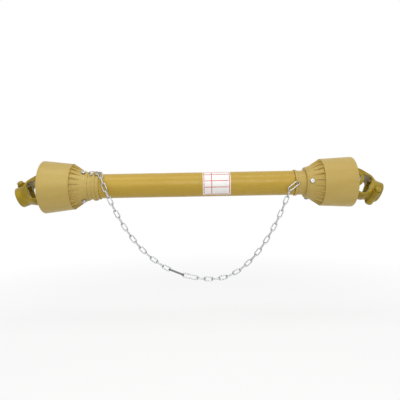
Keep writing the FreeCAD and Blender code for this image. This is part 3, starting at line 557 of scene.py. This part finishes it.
class Finishes:
    """Every finish, made once and kept by its slot."""

    def __init__(self, label: RuledFilm) -> None:
        """Make the materials.

        Args:
            label: The label's finish, which depends on where the label is.
        """
        steel, deep_steel = (0.62, 0.63, 0.64), (0.42, 0.43, 0.44)
        kinds = {
            Slot.GUARD: MouldedPlastic(
                "guard_plastic", (0.515, 0.375, 0.105), (0.455, 0.32, 0.08), (0.62, 0.5, 0.23)
            ),
            Slot.GUARD_TUBE: MouldedPlastic(
                "guard_tube_plastic",
                (0.51, 0.34, 0.045),
                (0.45, 0.29, 0.032),
                (0.58, 0.44, 0.15),
                roughness=0.34,
            ),
            Slot.NYLON: SoftSeal("bearing_nylon", (0.8, 0.78, 0.7), (0.45, 0.38, 0.24), 0.4),
            Slot.SCREWS: PlatedSteel("zinc_screws", steel, deep_steel),
            Slot.LABEL: label,
            Slot.PAINT: PaintedCasting(
                "yoke_paint", (0.37, 0.255, 0.01), (0.25, 0.165, 0.005), (0.46, 0.34, 0.03), (0.13, 0.1, 0.05)
            ),
            Slot.GREASED: PlatedSteel("greased_steel", (0.33, 0.3, 0.25), (0.16, 0.14, 0.1), roughness=0.36),
            Slot.RUBBER: SoftSeal("seal_rubber", (0.022, 0.022, 0.024), (0.12, 0.11, 0.09)),
            # Painted shade: the steel of the crosses and caps is darkened as if it lay in the shade of the
            # joints' windows.
            Slot.GROUND: PlatedSteel("ground_steel", (0.3, 0.27, 0.2), (0.14, 0.12, 0.08), roughness=0.34),
            Slot.SPRING: PlatedSteel("spring_steel", (0.5, 0.5, 0.5), (0.3, 0.3, 0.3), roughness=0.3),
            Slot.DARK_WIRE: PlatedSteel("dark_wire", (0.2, 0.2, 0.2), (0.09, 0.09, 0.09), roughness=0.32),
            Slot.CHAIN: PlatedSteel("chain_zinc", (0.56, 0.57, 0.58), (0.34, 0.35, 0.36), 1.1 * MM, 0.24),
        }
        self.materials = {slot: kind.build() for slot, kind in kinds.items()}

    def dress(self, piece: bpy.types.Object, slot: Slot) -> bpy.types.Object:
        """Give a piece its finish and nothing else.

        Args:
            piece: The piece.
            slot: The finish's slot.

        Returns:
            The piece.
        """
        if not piece.material_slots:
            piece.data.materials.append(None)
        for place in piece.material_slots:
            place.link = "OBJECT"
            place.material = self.materials[slot]
        return piece


# ---------------------------------------------------------------- making pieces


class Workshop:
    """Puts pieces on their bodies with their finishes, and counts them."""

    def __init__(self, finishes: Finishes) -> None:
        """Keep the finishes.

        Args:
            finishes: The materials by slot.
        """
        self.finishes = finishes
        self.made = 0
        self.carried = 0

    def put(self, name: str, mesh: bpy.types.Mesh, body: str, slot: Slot, *nodes: str) -> bpy.types.Object:
        """Make a piece from a mesh, in place of some of the model's nodes.

        Args:
            name: The piece's name.
            mesh: Its mesh, already in place.
            body: The body that it rides on.
            slot: The slot of its finish.
            nodes: The nodes that it stands for.

        Returns:
            The piece.
        """
        piece = bpy.data.objects.new(name, mesh)
        bpy.context.scene.collection.objects.link(piece)
        self.finishes.dress(piece, slot)
        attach(piece, body)
        if nodes:
            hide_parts(*nodes)
        self.made += 1
        LOG.info("%s on %s", name, body)
        return piece

    def carry(self, node: str, slot: Slot) -> None:
        """Keep one of the model's nodes, with a finish.

        Args:
            node: The node's name.
            slot: The slot of its finish.
        """
        self.finishes.dress(frame["nodes"][node], slot)
        self.carried += 1
        LOG.info("%s carried over", node)


def smooth(mesh: bpy.types.Mesh) -> bpy.types.Mesh:
    """Shade every face of a mesh smoothly."""
    mesh.polygons.foreach_set("use_smooth", [True] * len(mesh.polygons))
    mesh.update()
    return mesh


def rounded(corners: Sequence[tuple[float, float, float]], steps: int = 4) -> list[Point]:
    """Round the corners of a closed outline.

    Args:
        corners: (place, radius from the axis, corner radius) for each corner, in millimetres.
        steps: How many runs make a rounded corner.

    Returns:
        The outline's points in metres.
    """
    points: list[Point] = []
    for index, (along, out, radius) in enumerate(corners):
        here = Vector((along, out))
        before = Vector(corners[index - 1][:2]) - here
        after = Vector(corners[(index + 1) % len(corners)][:2]) - here
        reach = min(radius, before.length * CORNER_SHARE, after.length * CORNER_SHARE)
        if reach < SHARPEST:
            points.append((along * MM, out * MM))
            continue
        first, last = here + before.normalized() * reach, here + after.normalized() * reach
        for step in range(steps + 1):
            share = step / steps
            spot = first.lerp(here, share).lerp(here.lerp(last, share), share)
            points.append((spot.x * MM, spot.y * MM))
    return points


def divided(points: Sequence[Point], longest: float) -> list[Point]:
    """Divide the long runs of a closed outline.

    Args:
        points: The outline.
        longest: The longest run to leave, in metres.

    Returns:
        The outline with more points.
    """
    result: list[Point] = []
    for index, start in enumerate(points):
        end = points[(index + 1) % len(points)]
        count = max(1, math.ceil(math.dist(start, end) / longest))
        for step in range(count):
            share = step / count
            result.append((start[0] + (end[0] - start[0]) * share, start[1] + (end[1] - start[1]) * share))
    return result


def turned(build: bmesh.types.BMesh, outline: Sequence[Point], segments: int) -> None:
    """Turn a closed outline round the X axis into a ring.

    Args:
        build: The mesh that takes the ring.
        outline: (X, radius) points.
        segments: How many faces go round.
    """
    rings = []
    for index in range(segments):
        angle = math.tau * index / segments
        around = Vector((0.0, -math.cos(angle), math.sin(angle)))
        rings.append([build.verts.new(Vector((along, 0, 0)) + around * out) for along, out in outline])
    for index, ring in enumerate(rings):
        following = rings[(index + 1) % segments]
        for place in range(len(outline)):
            beyond = (place + 1) % len(outline)
            build.faces.new((ring[place], following[place], following[beyond], ring[beyond]))


def finished(build: bmesh.types.BMesh, name: str) -> bpy.types.Mesh:
    """Write a build mesh out, with its faces turned outward and smooth.

    Args:
        build: The build mesh, which is freed.
        name: The mesh's name.

    Returns:
        The mesh.
    """
    bmesh.ops.recalc_face_normals(build, faces=build.faces)
    mesh = bpy.data.meshes.new(name)
    build.to_mesh(mesh)
    build.free()
    return smooth(mesh)


def softened(node: str, voxel: float, passes: int) -> bpy.types.Mesh:
    """Copy a node's mesh with its edges rounded off, as a casting's or a moulding's are.

    Args:
        node: The node's name, which the new mesh takes.
        voxel: The new mesh's grid in metres.
        passes: How many times it is smoothed.

    Returns:
        The new mesh.
    """
    copy = bpy.data.objects.new(node + "_work", frame["nodes"][node].data.copy())
    bpy.context.scene.collection.objects.link(copy)
    weld = copy.modifiers.new("weld", "WELD")
    weld.merge_threshold = MERGE_GAP
    grid = copy.modifiers.new("grid", "REMESH")
    grid.mode = "VOXEL"
    grid.voxel_size = voxel
    grid.use_smooth_shade = True
    relax = copy.modifiers.new("relax", "SMOOTH")
    relax.factor = 0.5
    relax.iterations = passes
    bpy.context.view_layer.update()
    mesh = bpy.data.meshes.new_from_object(copy.evaluated_get(bpy.context.evaluated_depsgraph_get()))
    mesh.name = node
    mesh.materials.clear()
    bpy.data.objects.remove(copy)
    return smooth(mesh)


# ---------------------------------------------------------------- guard


@dataclass
class GuardBell:
    """One half's bell, ribbed cone and neck, in millimetres from the bell's mouth inward."""

    side: Side
    mouth_radius: float
    shoulder_radius: float
    bell_length: float
    cone_end_radius: float
    neck_length: float
    tube_radius: float
    mouth_place: float
    cone_length: float = 38.0
    wall: float = 2.5
    lip: float = 4.0
    recess: float = 4.5
    rib_reach: float = 20.0
    rib_thickness: float = 1.8
    rib_count: int = 22
    band_place: float = 34.5
    band_step: float = 0.8
    neck_wall: float = 2.4
    seat_gap: float = 0.05
    segments: int = 176
    longest_run: float = 6.0
    rib_edge: float = 0.45
    rib_profile: float = 0.6
    crest_share: float = 0.25

    def flank(self, along: float) -> float:
        """Outer radius of the cone's flank, a distance past the shoulder."""
        start = self.shoulder_radius - self.recess
        return start - (start - self.cone_end_radius) / self.cone_length * along

    def place(self, along: float) -> float:
        """X in millimetres, a distance inward from the mouth."""
        return self.side.sign * (self.mouth_place - along)

    def shell_outline(self) -> list[Point]:
        """The shell's closed outline.

        Returns:
            (X, radius) points in metres.
        """
        shoulder, wall = self.bell_length, self.wall
        cone_end = shoulder + self.cone_length
        neck_end = cone_end + self.neck_length
        band = shoulder + self.band_place
        neck = self.tube_radius + self.neck_wall
        seat = self.tube_radius + self.seat_gap
        corners = [  # distance inward, radius from the axis, corner radius
            (0.0, self.mouth_radius - wall, 0.8),
            (0.0, self.mouth_radius, 1.0),
            (shoulder, self.shoulder_radius, 2.2),
            (shoulder + self.lip, self.shoulder_radius, 1.7),
            (shoulder + self.lip, self.flank(self.lip), 0.8),
            (band, self.flank(self.band_place), 0.4),
            (band, self.flank(self.band_place) + self.band_step, 0.5),
            (cone_end, self.cone_end_radius + self.band_step, 1.7),
            (cone_end, neck, 0.8),
            (neck_end, neck, 0.5),
            (neck_end, seat, 0.2),
            (cone_end - wall, seat, 0.5),
            (cone_end - wall, self.flank(self.cone_length - wall) - wall, 1.0),
            (shoulder, self.flank(0.0) - wall, 1.5),
            (shoulder - self.lip, self.shoulder_radius - wall, 1.5),
        ]
        placed = [(self.place(along), out, turn) for along, out, turn in corners]
        return divided(rounded(placed), self.longest_run * MM)

    def rib(self, build: bmesh.types.BMesh, angle: float) -> None:
        """Add one rib that holds the shoulder's lip to the cone.

        Args:
            build: The mesh that takes the rib.
            angle: How far round it is from the top.
        """
        sink = self.wall / 2
        foot = self.bell_length + self.lip
        end = self.lip + self.rib_reach
        crest = self.rib_reach * self.crest_share
        outline = [
            (foot - sink, self.flank(self.lip) - sink),
            (foot - sink, self.shoulder_radius - sink),
            (foot + crest, self.shoulder_radius - sink - crest / 2),
            (self.bell_length + end, self.flank(end) + self.band_step * 0.5),
            (self.bell_length + end, self.flank(end) - sink),
        ]
        part = bmesh.new()
        half = self.rib_thickness / 2 * MM
        rows = [
            [part.verts.new((self.place(along) * MM, across, out * MM)) for along, out in outline]
            for across in (-half, half)
        ]
        part.faces.new(rows[0])
        part.faces.new(list(reversed(rows[1])))
        for index in range(len(outline)):
            beyond = (index + 1) % len(outline)
            part.faces.new((rows[0][index], rows[1][index], rows[1][beyond], rows[0][beyond]))
        edge, profile = self.rib_edge * MM, self.rib_profile
        bmesh.ops.bevel(part, geom=part.edges[:], offset=edge, segments=2, profile=profile, affect="EDGES")
        bmesh.ops.rotate(part, verts=part.verts, cent=(0, 0, 0), matrix=Matrix.Rotation(angle, 3, "X"))
        scratch = bpy.data.meshes.new("rib")
        part.to_mesh(scratch)
        part.free()
        build.from_mesh(scratch)
        bpy.data.meshes.remove(scratch)

    def build(self, shop: Workshop, body: str) -> None:
        """Make the cone and put it on its body.

        Args:
            shop: Where pieces are made.
            body: The body that it rides on.
        """
        build = bmesh.new()
        turned(build, self.shell_outline(), self.segments)
        for index in range(self.rib_count):
            self.rib(build, math.tau * index / self.rib_count)
        node = self.side.word + "_guard_cone"
        shop.put(node + "_moulded", finished(build, node), body, Slot.GUARD, node)


@dataclass
class GuardTube:
    """One of the two plain guard tubes, in millimetres."""

    node: str
    bore: float
    radius: float
    segments: int = 128
    inner_edge: float = 0.4
    outer_edge: float = 0.6
    longest_run: float = 8.0

    def build(self, shop: Workshop, body: str) -> None:
        """Make the tube and put it on its body.

        Args:
            shop: Where pieces are made.
            body: The body that it rides on.
        """
        low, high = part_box(self.node)
        ends = (low.x / MM, high.x / MM)
        corners = [
            (ends[0], self.bore, self.inner_edge),
            (ends[0], self.radius, self.outer_edge),
            (ends[1], self.radius, self.outer_edge),
            (ends[1], self.bore, self.inner_edge),
        ]
        build = bmesh.new()
        turned(build, divided(rounded(corners, 3), self.longest_run * MM), self.segments)
        shop.put(self.node + "_extruded", finished(build, self.node), body, Slot.GUARD_TUBE, self.node)


@dataclass
class GuardHalf:
    """One half of the guard: its bell, tube, collar, bearing ring and screws."""

    side: Side
    body: str
    bell: GuardBell
    tube: GuardTube
    collar_voxel: float = 0.45 * MM
    collar_passes: int = 2

    def build(self, shop: Workshop) -> None:
        """Make and dress the half.

        Args:
            shop: Where pieces are made.
        """
        word = self.side.word
        self.bell.build(shop, self.body)
        self.tube.build(shop, self.body)
        collar = word + "_chain_collar"
        mesh = softened(collar, self.collar_voxel, self.collar_passes)
        shop.put(collar + "_moulded", mesh, self.body, Slot.GUARD, collar)
        shop.carry(word + "_bearing_ring", Slot.NYLON)
        shop.carry(word + "_cone_screws", Slot.SCREWS)


# ---------------------------------------------------------------- drive line


@dataclass
class JointEnd:
    """One end's forged yokes, cross, caps, pin and seals."""

    side: Side
    tube_body: str
    voxel: float = 0.8 * MM
    passes: int = 5
    press_travel: float = 6.5 * MM

    def forging(self, shop: Workshop, node: str, body: str) -> None:
        """Make one painted forging.

        Args:
            shop: Where pieces are made.
            node: The node that it stands for.
            body: The body that it rides on.
        """
        mesh = softened(node, self.voxel, self.passes)
        shop.put(node + "_forged", mesh, body, Slot.PAINT, node)

    def coil(self, shop: Workshop) -> None:
        """Make the release pin's spring, as a fixed piece on the end yoke that does not close up as the pin
        is pressed.

        Args:
            shop: Where pieces are made.
        """
        word = self.side.word
        node, press = word + "_pin_spring", word + "_pin_press"
        way = Vector(next(joint["axis"] for joint in frame["joints"] if joint["name"] == press))
        mesh = frame["nodes"][node].data.copy()
        mesh.name = node
        mesh.materials.clear()
        ends = sorted((vertex.co for vertex in mesh.vertices), key=way.dot)
        seat, length = ends[-1].copy(), way.dot(ends[-1] - ends[0])
        piece = shop.put(node + "_coil", smooth(mesh), word + "_end_yoke", Slot.SPRING, node)
        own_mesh(piece)

    def build(self, shop: Workshop) -> None:
        """Make and dress the end.

        Args:
            shop: Where pieces are made.
        """
        word = self.side.word
        self.forging(shop, word + "_end_yoke", word + "_end_yoke")
        self.forging(shop, word + "_tube_yoke", self.tube_body)
        for node, slot in (
            (word + "_cross", Slot.GROUND),
            (word + "_cross_seals", Slot.RUBBER),
            (word + "_grease_nipple", Slot.SCREWS),
            (word + "_end_yoke_caps", Slot.GROUND),
            (word + "_end_yoke_snap_rings", Slot.SPRING),
            (word + "_tube_yoke_caps", Slot.GROUND),
            (word + "_tube_yoke_snap_rings", Slot.SPRING),
            (word + "_roll_pin", Slot.SPRING),
            (word + "_release_pin", Slot.PAINT),
            (word + "_pin_retainer", Slot.SPRING),
        ):
            shop.carry(node, slot)
        self.coil(shop)


# ---------------------------------------------------------------- chain


@dataclass
class ChainRun:
    """One half's chain: welded links between a collar clip and an end clip."""

    side: Side
    end_slot: Slot
    wire: float = 2.5 * MM
    length: float = 21.4 * MM
    width: float = 10.4 * MM
    weld: float = 0.16 * MM
    weld_reach: float = 0.9 * MM
    weld_side: float = 0.9
    around: int = 14
    corner_steps: int = 12

    def link_frames(self) -> list[Matrix]:
        """Where each link of the model's chain is.

        Returns:
            A matrix for each link, with X along it and Z across its flat side.
        """
        build = bmesh.new()
        build.from_mesh(frame["nodes"][self.side.word + "_chain_links"].data)
        bmesh.ops.remove_doubles(build, verts=build.verts, dist=MERGE_GAP)
        unseen = dict.fromkeys(build.verts)  # in order, so that each run starts a link at the same place
        frames = []
        while unseen:
            start = next(iter(unseen))
            del unseen[start]
            stack, island = [start], []
            while stack:
                vertex = stack.pop()
                island.append(vertex.co[:])
                for edge in vertex.link_edges:
                    other = edge.other_vert(vertex)
                    if other in unseen:
                        del unseen[other]
                        stack.append(other)
            spots = np.array(island)
            spread = spots - spots.mean(0)
            axes = np.linalg.svd(spread, full_matrices=False)[2]
            local = spots @ axes.T
            centre = ((local.min(0) + local.max(0)) / 2) @ axes
            axes[2] = np.cross(axes[0], axes[1])
            frames.append(Matrix.Translation(centre.tolist()) @ Matrix(axes.T.tolist()).to_4x4())
        build.free()
        frames.sort(key=lambda place: place.translation.x)
        return frames

    def path(self) -> list[tuple[Vector, Vector]]:
        """The middle line of a link's wire.

        Returns:
            (place, outward direction) round the link.
        """
        radius = (self.width - self.wire) / 2
        half = (self.length - self.width) / 2
        spots = []
        for end in (1, -1):
            for step in range(self.corner_steps + 1):
                angle = math.pi * step / self.corner_steps - math.pi / 2
                out = Vector((math.cos(angle), math.sin(angle), 0)) * end
                spots.append((Vector((half * end, 0, 0)) + out * radius, out))
            for step in range(1, self.corner_steps):
                share = step / self.corner_steps * 2 - 1
                spots.append((Vector((-half * share * end, radius * end, 0)), Vector((0, end, 0))))
        return spots

    def link(self, build: bmesh.types.BMesh, place: Matrix) -> None:
        """Add one link with its weld.

        Args:
            build: The mesh that takes the link.
            place: Where it is.
        """
        rings = []
        for middle, out in self.path():
            welded = out.y > self.weld_side
            swell = self.weld * math.exp(-((middle.x / self.weld_reach) ** 2)) if welded else 0.0
            radius = self.wire / 2 + swell
            ring = []
            for step in range(self.around):
                angle = math.tau * step / self.around
                spot = middle + out * (radius * math.cos(angle)) + Vector((0, 0, radius * math.sin(angle)))
                ring.append(build.verts.new(place @ spot))
            rings.append(ring)
        for index, ring in enumerate(rings):
            following = rings[(index + 1) % len(rings)]
            for step in range(self.around):
                beyond = (step + 1) % self.around
                build.faces.new((ring[step], ring[beyond], following[beyond], following[step]))

    def build(self, shop: Workshop) -> None:
        """Make the links and dress the clips.

        Args:
            shop: Where pieces are made.
        """
        word = self.side.word
        build = bmesh.new()
        for place in self.link_frames():
            self.link(build, place)
        node = word + "_chain_links"
        shop.put(node + "_welded", finished(build, node), word + "_chain", Slot.CHAIN, node)
        shop.carry(word + "_collar_clip", Slot.CHAIN)
        shop.carry(word + "_end_clip", self.end_slot)


# ---------------------------------------------------------------- room


@dataclass(frozen=True)
class Softbox:
    """One soft lamp: its place and aim, its width and height in metres, and its power in watts."""

    name: str
    place: Place
    aim: Place
    size: tuple[float, float]
    power: float

    def hang(self) -> None:
        """Hang the lamp, turned to its aim."""
        light = bpy.data.lights.new(self.name, "AREA")
        light.shape = "RECTANGLE"
        light.size, light.size_y = self.size
        light.energy = self.power
        lamp = bpy.data.objects.new(self.name, light)
        bpy.context.scene.collection.objects.link(lamp)
        lamp.location = self.place
        way = Vector(self.aim) - Vector(self.place)
        lamp.rotation_euler = way.to_track_quat("-Z", "Y").to_euler()


@dataclass
class Studio:
    """A pale floor in a white room, soft lamps and the camera."""

    floor_height: float = -0.33
    floor_radius: float = 2.6
    camera_place: Place = (0.0016, -0.889, -0.0125)
    camera_roll: float = math.radians(-1.05)
    lens: float = 35.55
    sensor: float = 36.0
    nearest: float = 0.01
    shift: float = -0.025
    room_level: float = 0.4
    lamps: tuple[Softbox, ...] = (
        Softbox("top_softbox", (0.0, -0.4, 1.1), (0.0, 0.0, 0.0), (1.9, 0.45), 7.5),
        Softbox("front_softbox", (0.1, -1.5, 0.6), (0.0, 0.0, -0.05), (1.1, 0.8), 10.0),
    )

    def floor(self) -> None:
        """Lay the floor: a disc whose rim fades into the room."""
        build = bmesh.new()
        bmesh.ops.create_circle(build, cap_ends=True, cap_tris=True, radius=self.floor_radius, segments=96)
        mesh = bpy.data.meshes.new("studio_floor")
        build.to_mesh(mesh)
        build.free()
        floor = bpy.data.objects.new("studio_floor", mesh)
        bpy.context.scene.collection.objects.link(floor)
        floor.location.z = self.floor_height
        mesh.materials.append(StudioPaper().build())

    def room(self) -> None:
        """Light the room evenly, and show it white."""
        world = bpy.data.worlds.new("white_room")
        bpy.context.scene.world = world
        world.use_nodes = True
        tree = world.node_tree
        tree.nodes.clear()
        rays = tree.nodes.new("ShaderNodeLightPath")
        level: Socket = rays.outputs["Is Camera Ray"]
        for name in ("Is Glossy Ray", "Is Transmission Ray"):
            widest = tree.nodes.new("ShaderNodeMath")
            widest.operation = "MAXIMUM"
            tree.links.new(level, widest.inputs[0])
            tree.links.new(rays.outputs[name], widest.inputs[1])
            level = widest.outputs[0]
        strength = tree.nodes.new("ShaderNodeMapRange")
        strength.inputs["To Min"].default_value = self.room_level
        tree.links.new(level, strength.inputs["Value"])
        shade = tree.nodes.new("ShaderNodeBackground")
        tree.links.new(strength.outputs["Result"], shade.inputs["Strength"])
        shade.inputs["Color"].default_value = (1.0, 1.0, 1.0, 1.0)
        output = tree.nodes.new("ShaderNodeOutputWorld")
        tree.links.new(shade.outputs["Background"], output.inputs["Surface"])

    def camera(self) -> None:
        """Set the camera up in front of the shaft."""
        data = bpy.data.cameras.new("camera")
        data.lens = self.lens
        data.sensor_width = self.sensor
        data.shift_y = self.shift
        data.clip_start = self.nearest
        camera = bpy.data.objects.new("camera", data)
        bpy.context.scene.collection.objects.link(camera)
        turn = Quaternion((1, 0, 0), math.radians(90)) @ Quaternion((0, 0, 1), self.camera_roll)
        camera.matrix_world = Matrix.Translation(self.camera_place) @ turn.to_matrix().to_4x4()
        bpy.context.scene.camera = camera

    def build(self) -> None:
        """Set the whole room up."""
        bpy.context.scene.view_settings.view_transform = "Standard"
        self.floor()
        self.room()
        self.camera()
        for lamp in self.lamps:
            lamp.hang()
        LOG.info("studio ready")


# ---------------------------------------------------------------- whole shaft


def main() -> None:
    """Build the shaft's looks in order, then the room."""
    logging.basicConfig(level=logging.INFO, format="%(name)s: %(message)s")
    low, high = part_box("blank_label")
    label = RuledFilm("label_film", low.x, high.x - low.x, low_angle=-58.0, high_angle=76.0)
    shop = Workshop(Finishes(label))
    shop.carry("blank_label", Slot.LABEL)
    GuardHalf(
        Side.LEFT,
        "outer_guard",
        GuardBell(
            Side.LEFT,
            mouth_radius=59.0,
            shoulder_radius=51.5,
            bell_length=62.0,
            cone_end_radius=30.6,
            neck_length=10.5,
            tube_radius=27.25,
            mouth_place=345.0,
        ),
        GuardTube("outer_guard_tube", bore=25.15, radius=27.25),
    ).build(shop)
    GuardHalf(
        Side.RIGHT,
        "inner_guard",
        GuardBell(
            Side.RIGHT,
            mouth_radius=56.0,
            shoulder_radius=52.6,
            bell_length=66.0,
            cone_end_radius=33.0,
            neck_length=18.0,
            tube_radius=24.65,
            mouth_place=339.0,
        ),
        GuardTube("inner_guard_tube", bore=22.55, radius=24.65),
    ).build(shop)
    for side, body in ((Side.LEFT, "left_drive"), (Side.RIGHT, "right_drive")):
        JointEnd(side, body).build(shop)
    shop.carry("outer_profile_tube", Slot.GREASED)
    shop.carry("inner_profile_tube", Slot.GREASED)
    ChainRun(Side.LEFT, Slot.DARK_WIRE).build(shop)
    ChainRun(Side.RIGHT, Slot.CHAIN).build(shop)
    Studio().build()
    LOG.info("%d pieces made and %d carried over", shop.made, shop.carried)


if __name__ == "__main__":
    main()
